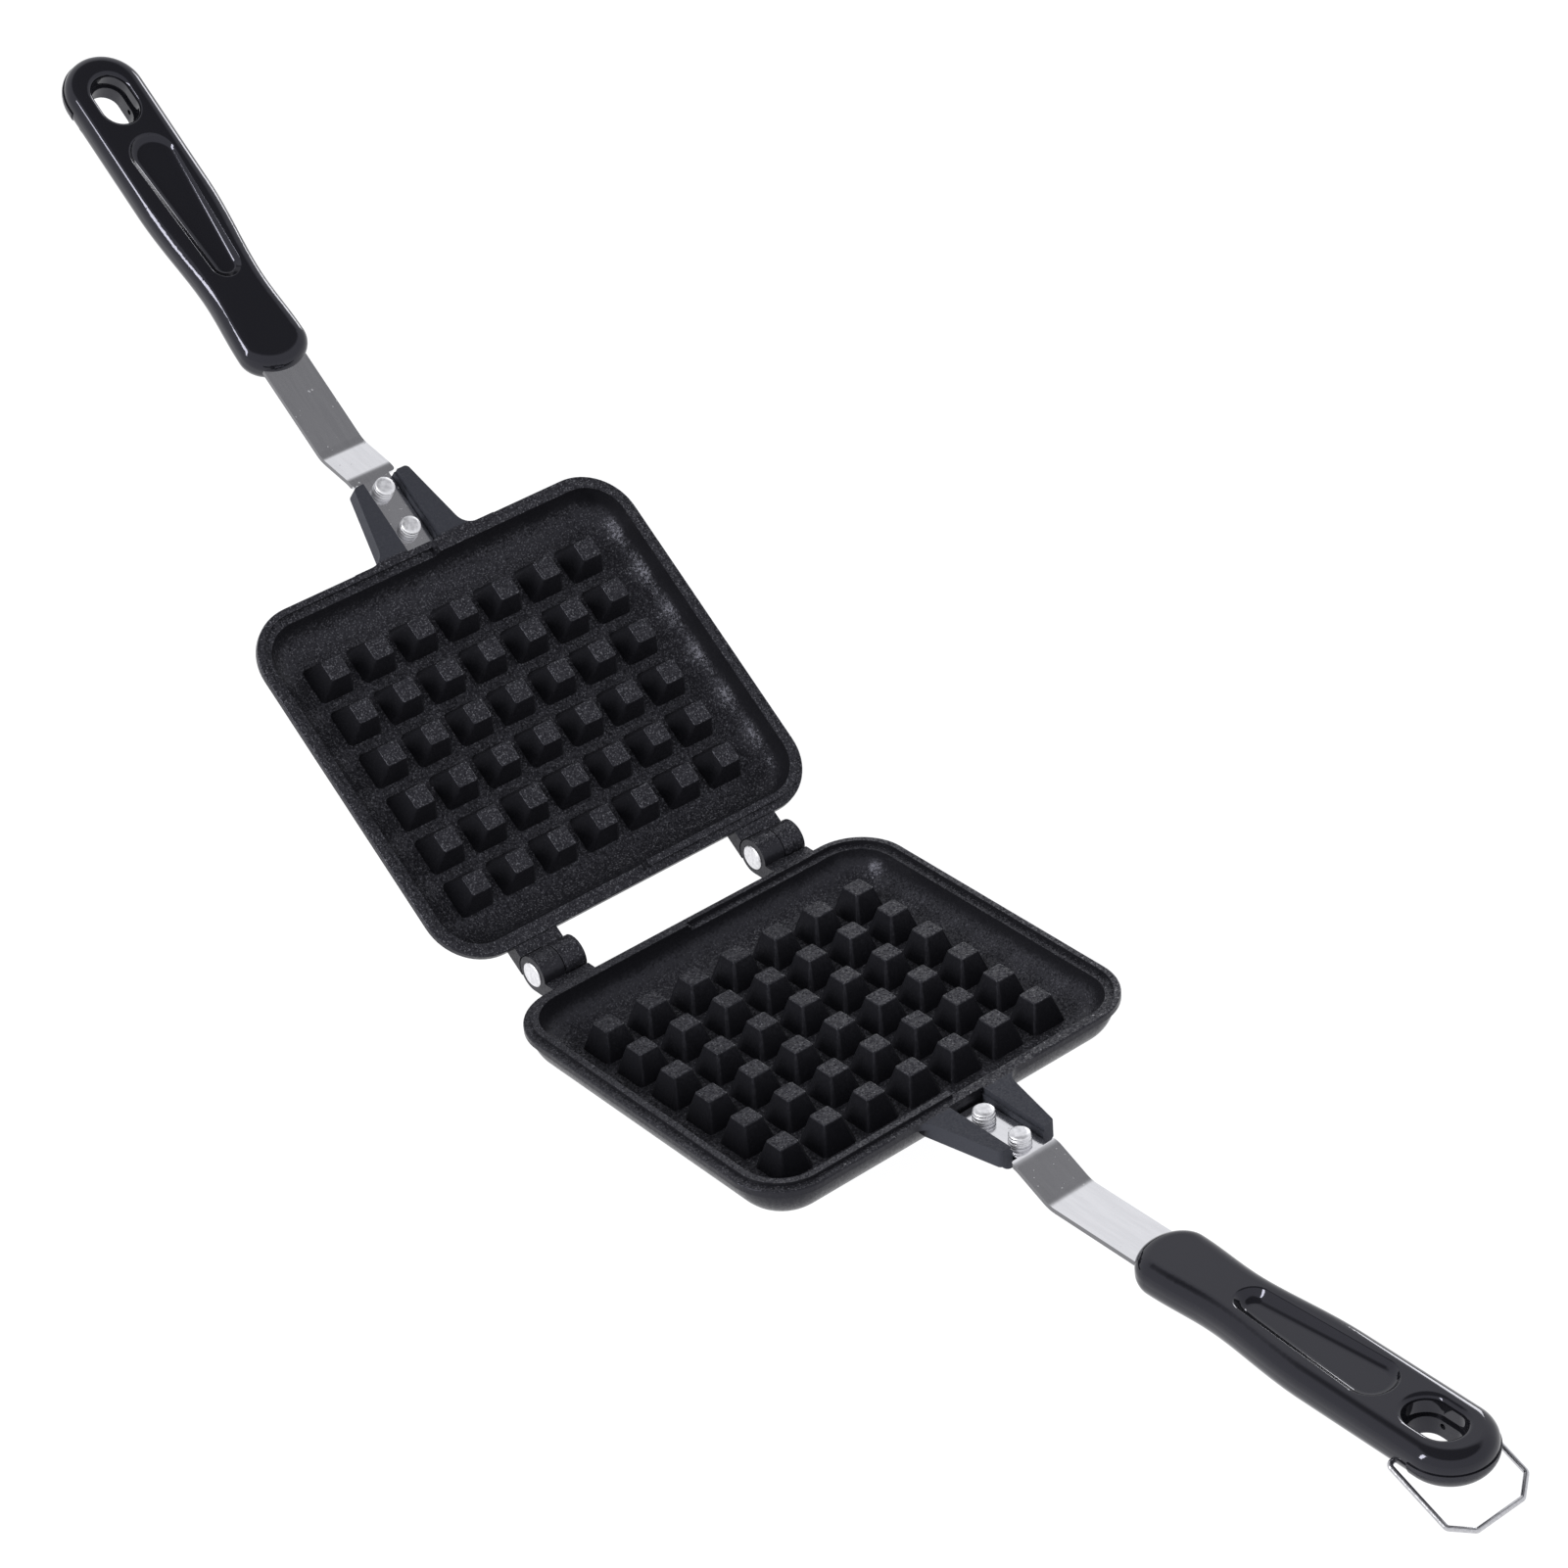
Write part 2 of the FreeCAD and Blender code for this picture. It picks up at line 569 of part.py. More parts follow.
def resting_lean():
    """Angle to level the line that touches the pan's bottom round and the bail's end from below."""
    inset = HINGE_TO_RIM + BODY_INSET + BODY_BOTTOM_ROUND
    droop = math.radians(BAIL_DROOP)
    run = BAIL_PIVOT_AT + BAIL_REACH * math.cos(droop) - inset
    drop = BAIL_PIVOT_BELOW + BAIL_REACH * math.sin(droop) - PAN_DEPTH + BODY_BOTTOM_ROUND
    wedge = math.asin((BODY_BOTTOM_ROUND - WIRE_RADIUS) / math.hypot(run, drop))
    return math.degrees(math.atan2(drop, run) - wedge)


def assemble():
    """All pieces in place about the hinge axis, before the whole is set on the floor."""
    half_strap = strap()
    cap = end_cap()
    half = {
        "plate": plate(),
        "strap": half_strap,
        "inner_rivet": rivet(RIVET_POSITIONS[0]),
        "outer_rivet": rivet(RIVET_POSITIONS[1]),
        "end_cap": cap,
        "handle": grip(half_strap, cap),
    }
    pieces = {}
    for name, shape in half.items():
        pieces["lower_" + name] = shape.rotated(ORIGIN, Z_AXIS, 180)
        pieces["upper_" + name] = shape.rotated(ORIGIN, X_AXIS, UPPER_TILT)
    pieces["hinge_pin_left"] = pin(-HINGE_OFFSET)
    pieces["hinge_pin_right"] = pin(HINGE_OFFSET)
    pieces["locking_bail"] = bail().rotated(ORIGIN, Z_AXIS, 180)
    return pieces


def main():
    lean = resting_lean()
    pieces = {name: shape.rotated(ORIGIN, X_AXIS, -lean) for name, shape in assemble().items()}
    limits = Part.makeCompound(list(pieces.values())).optimalBoundingBox()
    shift = Vector(0, -limits.Center.y, -limits.ZMin)
    os.makedirs("parts", exist_ok=True)
    for name, shape in pieces.items():
        shape.translated(shift).exportStep("parts/" + name + ".step")


main()
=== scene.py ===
import json
import math

import bpy
from bpy.props import FloatProperty, FloatVectorProperty, IntProperty, PointerProperty
from bpy.types import Operator, Panel, PropertyGroup
from mathutils import Matrix, Vector


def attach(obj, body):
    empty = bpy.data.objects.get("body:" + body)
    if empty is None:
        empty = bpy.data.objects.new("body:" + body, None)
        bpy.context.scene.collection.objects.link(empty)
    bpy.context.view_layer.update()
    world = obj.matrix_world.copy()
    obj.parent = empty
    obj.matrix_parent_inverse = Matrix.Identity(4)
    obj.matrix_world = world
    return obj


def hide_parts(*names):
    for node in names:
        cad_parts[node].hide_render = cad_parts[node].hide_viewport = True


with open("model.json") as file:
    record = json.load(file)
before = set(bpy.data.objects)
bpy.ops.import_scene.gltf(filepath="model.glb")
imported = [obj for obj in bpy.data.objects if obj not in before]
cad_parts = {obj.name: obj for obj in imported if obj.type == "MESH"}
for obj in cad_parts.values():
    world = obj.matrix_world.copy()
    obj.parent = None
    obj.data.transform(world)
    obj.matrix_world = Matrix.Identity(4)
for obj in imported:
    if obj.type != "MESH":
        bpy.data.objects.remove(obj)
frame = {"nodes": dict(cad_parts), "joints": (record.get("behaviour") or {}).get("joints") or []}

bl_info = {
    "name": "Stovetop waffle maker",
    "version": (1, 1, 0),
    "blender": (4, 5, 0),
    "location": "View3D > Sidebar > Waffle maker",
    "description": "Dresses the hinged waffle pan with its finishes and sets it on a plain stage",
    "category": "Object",
}

HINGE = Vector(next(joint["pos_m"] for joint in frame["joints"] if joint["name"] == "main_hinge"))
HALVES = ("lower", "upper")

# Between these amounts of facing the other half, the coat turns from plain and darker to grainy and lighter:
# real grain, with painted light where it faces the other half and painted shade on the sides
UPWARD = (0.4, 0.9)

# Part of the noise that shows as specks, from none to full
SPECKS = (0.56, 0.72)

# Specular level of the coat, and roughness of the coat and of the lug's coarser one
COAT_GLOSS = 0.25
COAT_ROUGHNESS = 0.3
LUG_ROUGHNESS = 0.65

# Lowest and highest roughness of the other finishes
GRIP_ROUGHNESS = (0.055, 0.07)
CAP_ROUGHNESS = (0.3, 0.42)
RIVET_ROUGHNESS = (0.4, 0.55)
WIRE_ROUGHNESS = (0.18, 0.28)
STRAP_ROUGHNESS = (0.13, 0.5)

# Rings of a rivet's tail: radius and height from the lug's underside in millimetres
RIVET_TAIL = ((3.0, -1.6), (3.55, -1.1), (3.58, 0.0), (2.2, 0.0))

# Rings of a rivet's head: share of its radius, and height from the strap in millimetres
RIVET_HEAD = (
    (0.70, 0.0), (1.0, 0.0), (1.0, 0.8), (0.86, 1.0), (0.86, 1.25), (0.98, 1.45), (0.98, 1.95),
    (0.86, 2.15), (0.86, 2.35), (0.96, 2.6), (0.94, 2.95), (0.84, 3.24), (0.62, 3.4),
)

# Rings of a pin's far and near end: share of the head's radius, and height past the hinge in millimetres
PIN_FAR_END = ((0.8, 0.9), (1.0, 0.55), (1.0, 0.3))
PIN_NEAR_END = ((1.0, 0.0), (1.0, 0.2), (0.93, 0.42), (0.75, 0.55))
PIN_DIMPLE = ((0.5, 0.52), (0.3, 0.44))

# Soft lights: name, place, width and height, power
SOFTBOXES = (
    ("left_front", (-1.47, 0.22, 1.05), (0.30, 0.55), 11.5),
    ("left_back", (-1.57, 0.24, 0.62), (0.20, 0.36), 5.0),
    ("right", (1.47, 0.62, 0.63), (0.25, 0.60), 4.5),
)

# Height of the studio's view, as the sine of its elevation, where the walls end and where the roof begins
WALLS_END = 0.745
ROOF_START = 0.835


def colour(name, description, default):
    """Setting for a colour."""
    return FloatVectorProperty(
        name=name, description=description, default=default, size=3, min=0, max=1, subtype="COLOR"
    )


def length(name, description, default):
    """Setting for a length in metres."""
    return FloatProperty(name=name, description=description, default=default, precision=5, unit="LENGTH")


def angle(name, description, degrees):
    """Setting for an angle."""
    return FloatProperty(
        name=name, description=description, default=math.radians(degrees), subtype="ANGLE", unit="ROTATION"
    )


def place(name, description, default):
    """Setting for a point in metres."""
    return FloatVectorProperty(
        name=name, description=description, default=default, size=3, subtype="TRANSLATION", unit="LENGTH"
    )


class WaffleSizes(PropertyGroup):
    grain: length("Coating grain", "Width of one grain of the non-stick coating", 0.0005)
    lean: angle("Lean", "Turn of the lower half about the hinge as it rests on the floor", -2.0471)
    opening: angle("Opening", "Turn of the upper half about the hinge", 36.0129)
    lug_start: length("Lug start", "Where the lug's coarser coat begins, from the hinge axis", 0.1268)
    lug_blend: length("Lug blend", "Distance over which the coat changes", 0.0006)
    rivet_inner: length("Inner rivet", "Distance of the inner rivet from the hinge axis", 0.13345)
    rivet_outer: length("Outer rivet", "Distance of the outer rivet from the hinge axis", 0.14735)
    rivet_seat: length("Rivet seat", "Level of the strap under the rivet head", -0.0037)
    rivet_under: length("Rivet underside", "Level of the lug's underside", -0.0072)
    rivet_radius: length("Rivet radius", "Radius of the rivet's lowest ring", 0.0032)
    sparkle: FloatProperty(name="Sparkle", description="Tilt of the coating's grains", default=0.45, min=0)
    hammer_marks: length("Hammer marks", "Depth of the marks on rivets and pins", 0.00005)
    pin_offset: length("Pin offset", "Distance of a hinge's middle from the pan's middle", 0.0397)
    pin_half: length("Pin half length", "Half the width of one hinge", 0.0074)
    pin_radius: length("Pin radius", "Radius of the pin's shaft", 0.0033)
    pin_head: length("Pin head", "Radius of the peened ends", 0.00372)
    small_edge: length("Small edge", "Rounding of the edges of rivets and pins", 0.0001)
    strap_edge: length("Strap edge", "Rounding of the straps' edges", 0.0002)
    sides: IntProperty(name="Sides", description="Sides of a turned piece", default=48, min=16)
    camera_place: place("Camera place", "Where the camera stands", (-0.59964, -0.78937, 0.75691))
    camera_aim: place("Camera aim", "Point in the middle of the picture", (0.01122, -0.01463, 0.0706))
    camera_roll: angle("Camera roll", "Turn of the camera about its line of sight", -3.383)
    camera_lens: FloatProperty(name="Lens", description="Focal length in millimetres", default=102.416)
    floor_width: length("Floor width", "Side of the square floor", 30.0)
    floor_level: length("Floor level", "Level of the floor, under the grip of the flat open pan", -0.0155)


class WaffleColours(PropertyGroup):
    coating: colour("Coating", "Black non-stick coating", (0.0105, 0.0105, 0.0128))
    # Lighter coat on faces toward the other half: painted light from above, leaving the sides darker as
    # painted shade
    coating_painted_light: colour("Coating on top", "Coating of faces toward the other half", (0.0145, 0.0145, 0.0175))
    # The upper specks are lighter than the lower ones: painted light on the upper half of one and the same
    # coating
    speck_lower: colour("Lower specks", "Bright grains in the lower coating", (0.08, 0.08, 0.09))
    speck_upper: colour("Upper specks", "Bright grains in the upper coating", (0.115, 0.115, 0.128))
    lug: colour("Lug coat", "Coarser coat of the handle lugs", (0.034, 0.036, 0.044))
    sheen: colour("Sheen", "Tint of the reflections on black pieces", (0.85, 0.85, 1.0))
    steel: colour("Steel", "Satin steel of the straps", (0.75, 0.75, 0.77))
    steel_dark: colour("Dark steel", "Darker streaks of the straps", (0.71, 0.71, 0.73))
    # Dark base on the straps' side faces: painted shade
    strap_side_shade: colour("Cut edge", "Duller sheared edges of the straps", (0.2, 0.2, 0.21))
    grip: colour("Grip", "Glossy black of the grips", (0.008, 0.008, 0.010))
    cap: colour("End cap", "Satin black of the end caps", (0.010, 0.010, 0.013))
    aluminium: colour("Aluminium", "Bright rivets and pins", (0.84, 0.84, 0.86))
    wire: colour("Wire", "Drawn wire of the bail", (0.55, 0.55, 0.57))
    wire_dark: colour("Dark wire", "Darker marks on the bail's wire", (0.46, 0.46, 0.48))
    floor: colour("Floor", "Pale floor", (0.12, 0.12, 0.12))
    glow: colour("Floor light", "Light of the overexposed floor", (0.97, 0.97, 0.98))
    sky: colour("Studio light", "Light of the bright lower part of the studio", (0.97, 0.975, 1.0))
    roof: colour("Studio roof", "Light of the dim upper part of the studio", (0.21, 0.21, 0.22))


def new_material(name):
    """Empty node material with a principled shader joined to its output."""
    material = bpy.data.materials.new(name)
    material.use_nodes = True
    nodes = material.node_tree.nodes
    nodes.clear()
    shader = nodes.new("ShaderNodeBsdfPrincipled")
    output = nodes.new("ShaderNodeOutputMaterial")
    material.node_tree.links.new(shader.outputs["BSDF"], output.inputs["Surface"])
    return material, shader


def noise(material, scale, detail=2.0, stretch=(1, 1, 1)):
    """Noise in object coordinates, stretched along the axes with small factors."""
    nodes, links = material.node_tree.nodes, material.node_tree.links
    coords = nodes.new("ShaderNodeTexCoord")
    mapping = nodes.new("ShaderNodeMapping")
    mapping.inputs["Scale"].default_value = stretch
    texture = nodes.new("ShaderNodeTexNoise")
    texture.inputs["Scale"].default_value = scale
    texture.inputs["Detail"].default_value = detail
    links.new(coords.outputs["Object"], mapping.inputs["Vector"])
    links.new(mapping.outputs["Vector"], texture.inputs["Vector"])
    return texture.outputs["Fac"]


def tint(material, factor, socket, low, high):
    """Colours a shader socket by a factor, from one stop (place, colour) to another."""
    ramp = material.node_tree.nodes.new("ShaderNodeValToRGB")
    for element, (spot, shade) in zip(ramp.color_ramp.elements, (low, high)):
        element.position = spot
        element.color = (*shade, 1)
    material.node_tree.links.new(factor, ramp.inputs["Fac"])
    material.node_tree.links.new(ramp.outputs["Color"], socket)


def vary(material, factor, socket, low, high, start=0.3, end=0.7):
    """Drives a shader value between two amounts by a factor within its range."""
    scaled = material.node_tree.nodes.new("ShaderNodeMapRange")
    scaled.inputs["From Min"].default_value = start
    scaled.inputs["From Max"].default_value = end
    scaled.inputs["To Min"].default_value = low
    scaled.inputs["To Max"].default_value = high
    material.node_tree.links.new(factor, scaled.inputs["Value"])
    material.node_tree.links.new(scaled.outputs["Result"], socket)


def relief(material, factor, shader, strength, depth):
    """Fine relief of the surface from a height."""
    bump = material.node_tree.nodes.new("ShaderNodeBump")
    bump.inputs["Strength"].default_value = strength
    bump.inputs["Distance"].default_value = depth
    material.node_tree.links.new(factor, bump.inputs["Height"])
    material.node_tree.links.new(bump.outputs["Normal"], shader.inputs["Normal"])


def facing(material, up):
    """How far the surface faces along a direction of the piece."""
    nodes, links = material.node_tree.nodes, material.node_tree.links
    coords = nodes.new("ShaderNodeTexCoord")
    product = nodes.new("ShaderNodeVectorMath")
    product.operation = "DOT_PRODUCT"
    product.inputs[1].default_value = up
    links.new(coords.outputs["Normal"], product.inputs[0])
    return product.outputs["Value"]


def sparkle(material, shader, grain, upward, amount):
    """Tilts each grain of the surface at random, most where it faces up, so that grains catch the light."""
    nodes, links = material.node_tree.nodes, material.node_tree.links
    coords = nodes.new("ShaderNodeTexCoord")
    cells = nodes.new("ShaderNodeTexVoronoi")
    cells.inputs["Scale"].default_value = 1 / grain
    centred = nodes.new("ShaderNodeVectorMath")
    centred.operation = "SUBTRACT"
    centred.inputs[1].default_value = (0.5, 0.5, 0.5)
    tilt = nodes.new("ShaderNodeVectorMath")
    tilt.operation = "SCALE"
    vary(material, upward, tilt.inputs["Scale"], amount / 4, amount, *UPWARD)
    normal = nodes.new("ShaderNodeNewGeometry")
    tilted = nodes.new("ShaderNodeVectorMath")
    unit = nodes.new("ShaderNodeVectorMath")
    unit.operation = "NORMALIZE"
    links.new(coords.outputs["Object"], cells.inputs["Vector"])
    links.new(cells.outputs["Color"], centred.inputs[0])
    links.new(centred.outputs["Vector"], tilt.inputs[0])
    links.new(tilt.outputs["Vector"], tilted.inputs[0])
    links.new(normal.outputs["Normal"], tilted.inputs[1])
    links.new(tilted.outputs["Vector"], unit.inputs[0])
    links.new(unit.outputs["Vector"], shader.inputs["Normal"])


def from_hinge(material):
    """Distance of a point from the hinge axis."""
    nodes, links = material.node_tree.nodes, material.node_tree.links
    coords = nodes.new("ShaderNodeTexCoord")
    offset = nodes.new("ShaderNodeVectorMath")
    offset.operation = "SUBTRACT"
    offset.inputs[1].default_value = HINGE
    across = nodes.new("ShaderNodeVectorMath")
    across.operation = "MULTIPLY"
    across.inputs[1].default_value = (0, 1, 1)
    distance = nodes.new("ShaderNodeVectorMath")
    distance.operation = "LENGTH"
    links.new(coords.outputs["Object"], offset.inputs[0])
    links.new(offset.outputs["Vector"], across.inputs[0])
    links.new(across.outputs["Vector"], distance.inputs[0])
    return distance.outputs["Value"]


def dress(material, mesh):
    """Puts one material on a mesh."""
    mesh.materials.clear()
    mesh.materials.append(material)


def metal(name, bright, dark, scale, stretch, depth):
    """Bare metal with streaks or marks of the given scale; gives the marks back for its roughness."""
    material, shader = new_material(name)
    shader.inputs["Metallic"].default_value = 1.0
    marks = noise(material, scale, 3.0, stretch)
    tint(material, marks, shader.inputs["Base Color"], (0.38, dark), (0.6, bright))
    relief(material, marks, shader, 0.3, depth)
    return material, shader, marks


def plastic(name, shade, sheen, roughness, scale, depth):
    """Moulded plastic with a faint texture."""
    material, shader = new_material(name)
    shader.inputs["Base Color"].default_value = (*shade, 1)
    shader.inputs["Specular Tint"].default_value = (*sheen, 1)
    shader.inputs["IOR"].default_value = 1.45
    texture = noise(material, scale)
    vary(material, texture, shader.inputs["Roughness"], *roughness)
    relief(material, texture, shader, 0.2, depth)
    return material


def edit(select="SELECT"):
    """Opens the active object for editing with all or nothing selected."""
    bpy.ops.object.mode_set(mode="EDIT")
    bpy.ops.mesh.select_all(action=select)


def close():
    """Turns all faces outward and leaves editing."""
    bpy.ops.mesh.select_all(action="SELECT")
    bpy.ops.mesh.normals_make_consistent(inside=False)
    bpy.ops.object.mode_set(mode="OBJECT")


def bevel(piece, width, degrees):
    """Rounds the sharp edges of a piece and keeps its flats flat."""
    modifier = piece.modifiers.new("edges", "BEVEL")
    modifier.width = width
    modifier.segments = 2
    modifier.limit_method = "ANGLE"
    modifier.angle_limit = math.radians(degrees)
    bpy.ops.object.modifier_apply(modifier=modifier.name)
    bpy.ops.object.shade_smooth_by_angle(angle=math.radians(degrees))
    modifier = piece.modifiers.new("flats", "WEIGHTED_NORMAL")
    modifier.keep_sharp = True
    bpy.ops.object.modifier_apply(modifier=modifier.name)


def turned(name, rings, sides):
    """Round piece about Z, extruded through rings of radius and height; its last face stays selected."""
    bpy.ops.object.select_all(action="DESELECT")
    radius, height = rings[0]
    bpy.ops.mesh.primitive_circle_add(
        vertices=sides, radius=radius, fill_type="NGON", location=(0, 0, height)
    )
    piece = bpy.context.object
    piece.name = piece.data.name = name
    edit()
    for (r0, z0), (r1, z1) in zip(rings, rings[1:]):
        bpy.ops.mesh.extrude_region_move(TRANSFORM_OT_translate={"value": (0, 0, z1 - z0)})
        bpy.ops.transform.resize(value=(r1 / r0, r1 / r0, 1), center_override=(0, 0, z1))
    return piece


def hammer(depth, seed, span):
    """Replaces the selected end face by a grid with hammer marks."""
    bpy.ops.mesh.delete(type="ONLY_FACE")
    bpy.ops.mesh.select_mode(type="EDGE")
    bpy.ops.mesh.select_non_manifold()
    bpy.ops.mesh.fill_grid(span=span)
    bpy.ops.mesh.select_mode(type="VERT")
    bpy.ops.transform.vertex_random(offset=depth, uniform=0.2, normal=1.0, seed=seed)
    bpy.ops.mesh.vertices_smooth(factor=0.4)


def seat(piece, turn):
    """Sets a piece in place and freezes it there."""
    piece.matrix_world = turn @ piece.matrix_world
    bpy.ops.object.transform_apply(location=True, rotation=True, scale=True)


def half_matrix(sizes, half):
    """Place of a half's own frame: hinge axis on X, handle toward +Y, parting plane at Z = 0."""
    hinge = Matrix.Translation(HINGE)
    if half == "lower":
        return hinge @ Matrix.Rotation(sizes.lean, 4, "X") @ Matrix.Rotation(math.pi, 4, "Z")
    return hinge @ Matrix.Rotation(sizes.opening, 4, "X")


def hand_over(piece, node, body):
    """Lets a piece stand for a CAD node."""
    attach(piece, body)
    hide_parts(node)


class WAFFLE_OT_plates(Operator):
    """Coats both pan halves"""

    bl_idname = "waffle.plates"
    bl_label = "Coat the plates"

    def execute(self, context):
        sizes, colours = context.scene.waffle_sizes, context.scene.waffle_colours
        for half in HALVES:
            up = half_matrix(sizes, half).to_3x3() @ Vector((0, 0, 1))
            coat = self.coat(sizes, colours, half, up)
            dress(coat, frame["nodes"][half + "_plate"].data)
        return {"FINISHED"}

    def coat(self, sizes, colours, half, up):
        """Black coat, grainy and lighter where it faces the other half, and a duller one on the handle lug;
        the lighter tone and the specks fading on the sides are painted light and shade.
        """
        material, shader = new_material("coated_casting_" + half)
        shader.inputs["Specular Tint"].default_value = (*colours.sheen, 1)
        shader.inputs["Specular IOR Level"].default_value = COAT_GLOSS
        nodes, links = material.node_tree.nodes, material.node_tree.links
        upward = facing(material, up)
        specks = nodes.new("ShaderNodeMath")
        specks.operation = "MULTIPLY"
        vary(material, noise(material, 1 / sizes.grain, 1.0), specks.inputs[0], 0, 1, *SPECKS)
        # Specks fade on the sides: real grain, with painted shade on faces turned from the light
        vary(material, upward, specks.inputs[1], 0.05, 1, *UPWARD)
        # grains lays the real specks over a base that is lighter where it faces the other half; that lighter
        # base is painted light
        grains = nodes.new("ShaderNodeMixRGB")
        # Each half takes its own speck colour; the upper half's lighter one is painted light
        grains.inputs["Color2"].default_value = (*getattr(colours, "speck_" + half), 1)
        low, high = UPWARD
        tint(material, upward, grains.inputs["Color1"], (low, colours.coating), (high, colours.coating_painted_light))
        links.new(specks.outputs["Value"], grains.inputs["Fac"])
        coats = nodes.new("ShaderNodeMixRGB")
        coats.inputs["Color2"].default_value = (*colours.lug, 1)
        links.new(grains.outputs["Color"], coats.inputs["Color1"])
        links.new(coats.outputs["Color"], shader.inputs["Base Color"])
        away, ends = from_hinge(material), (sizes.lug_start, sizes.lug_start + sizes.lug_blend)
        vary(material, away, coats.inputs["Fac"], 0, 1, *ends)
        vary(material, away, shader.inputs["Roughness"], COAT_ROUGHNESS, LUG_ROUGHNESS, *ends)
        sparkle(material, shader, sizes.grain, upward, sizes.sparkle)
        return material


class WAFFLE_OT_straps(Operator):
    """Rounds the straps' edges and finishes them in satin steel"""

    bl_idname = "waffle.straps"
    bl_label = "Finish the straps"

    def execute(self, context):
        sizes, colours = context.scene.waffle_sizes, context.scene.waffle_colours
        streaks = (700, (1, 0.1, 0.1), 0.000002)
        material, shader, _ = metal("steel_strap", colours.steel, colours.steel_dark, *streaks)
        specks = noise(material, 900, 1.0)
        vary(material, specks, shader.inputs["Roughness"], *STRAP_ROUGHNESS, 0.74, 0.78)
        # The straps' side faces get a painted shade
        self.shade_strap_sides(material, shader, colours.strap_side_shade)
        for half in HALVES:
            node = half + "_strap"
            bpy.ops.object.select_all(action="DESELECT")
            mesh = frame["nodes"][node].data.copy()
            piece = bpy.data.objects.new(node + "_rounded", mesh)
            context.scene.collection.objects.link(piece)
            context.view_layer.objects.active = piece
            piece.select_set(True)
            bpy.ops.mesh.customdata_custom_splitnormals_clear()
            edit()
            bpy.ops.mesh.remove_doubles(threshold=0.000001)
            bpy.ops.mesh.dissolve_limited(angle_limit=math.radians(1))
            close()
            bevel(piece, sizes.strap_edge, 40)
            dress(material, mesh)
            hand_over(piece, node, half + "_half")
        return {"FINISHED"}

    def shade_strap_sides(self, material, shader, shade):
        """Painted shade: darker metal on the sheared side faces."""
        nodes, links = material.node_tree.nodes, material.node_tree.links
        base = shader.inputs["Base Color"]
        steel = base.links[0].from_socket
        sideways = nodes.new("ShaderNodeMath")
        sideways.operation = "ABSOLUTE"
        links.new(facing(material, (1, 0, 0)), sideways.inputs[0])
        edges = nodes.new("ShaderNodeMixRGB")
        edges.inputs["Color2"].default_value = (*shade, 1)
        vary(material, sideways.outputs["Value"], edges.inputs["Fac"], 0, 1, 0.6, 0.9)
        links.new(steel, edges.inputs["Color1"])
        links.new(edges.outputs["Color"], base)


class WAFFLE_OT_grips(Operator):
    """Finishes grips and end caps"""

    bl_idname = "waffle.grips"
    bl_label = "Finish the grips"

    def execute(self, context):
        colours = context.scene.waffle_colours
        gloss = plastic("black_grip", colours.grip, colours.sheen, GRIP_ROUGHNESS, 60, 0.000004)
        satin = plastic("matte_cap", colours.cap, colours.sheen, CAP_ROUGHNESS, 2500, 0.00003)
        for half in HALVES:
            dress(gloss, frame["nodes"][half + "_handle"].data)
            dress(satin, frame["nodes"][half + "_end_cap"].data)
        return {"FINISHED"}


class WAFFLE_OT_rivets(Operator):
    """Turns the rivets with grooved heads and hammered tops"""

    bl_idname = "waffle.rivets"
    bl_label = "Model the rivets"

    def execute(self, context):
        sizes, colours = context.scene.waffle_sizes, context.scene.waffle_colours
        dents = (900, (1, 1, 1), 0.00005)
        material, shader, marks = metal("rivet", colours.aluminium, colours.steel_dark, *dents)
        vary(material, marks, shader.inputs["Roughness"], *RIVET_ROUGHNESS)
        seed = 0
        for half in HALVES:
            for name, away in (("inner", sizes.rivet_inner), ("outer", sizes.rivet_outer)):
                seed += 1
                node = half + "_" + name + "_rivet"
                piece = turned(node + "_turned", self.rings(sizes), sizes.sides)
                hammer(sizes.hammer_marks, seed, sizes.sides // 4)
                close()
                bevel(piece, sizes.small_edge, 35)
                seat(piece, half_matrix(sizes, half) @ Matrix.Translation((0, away, 0)))
                dress(material, piece.data)
                hand_over(piece, node, half + "_half")
        return {"FINISHED"}

    def rings(self, sizes):
        """Rings from the closed tail under the lug over the shank to the head's top."""
        radius, seat_z, under = sizes.rivet_radius, sizes.rivet_seat, sizes.rivet_under
        low = [(r / 1000, under + z / 1000) for r, z in RIVET_TAIL]
        return low + [(r * radius, seat_z + z / 1000) for r, z in RIVET_HEAD]


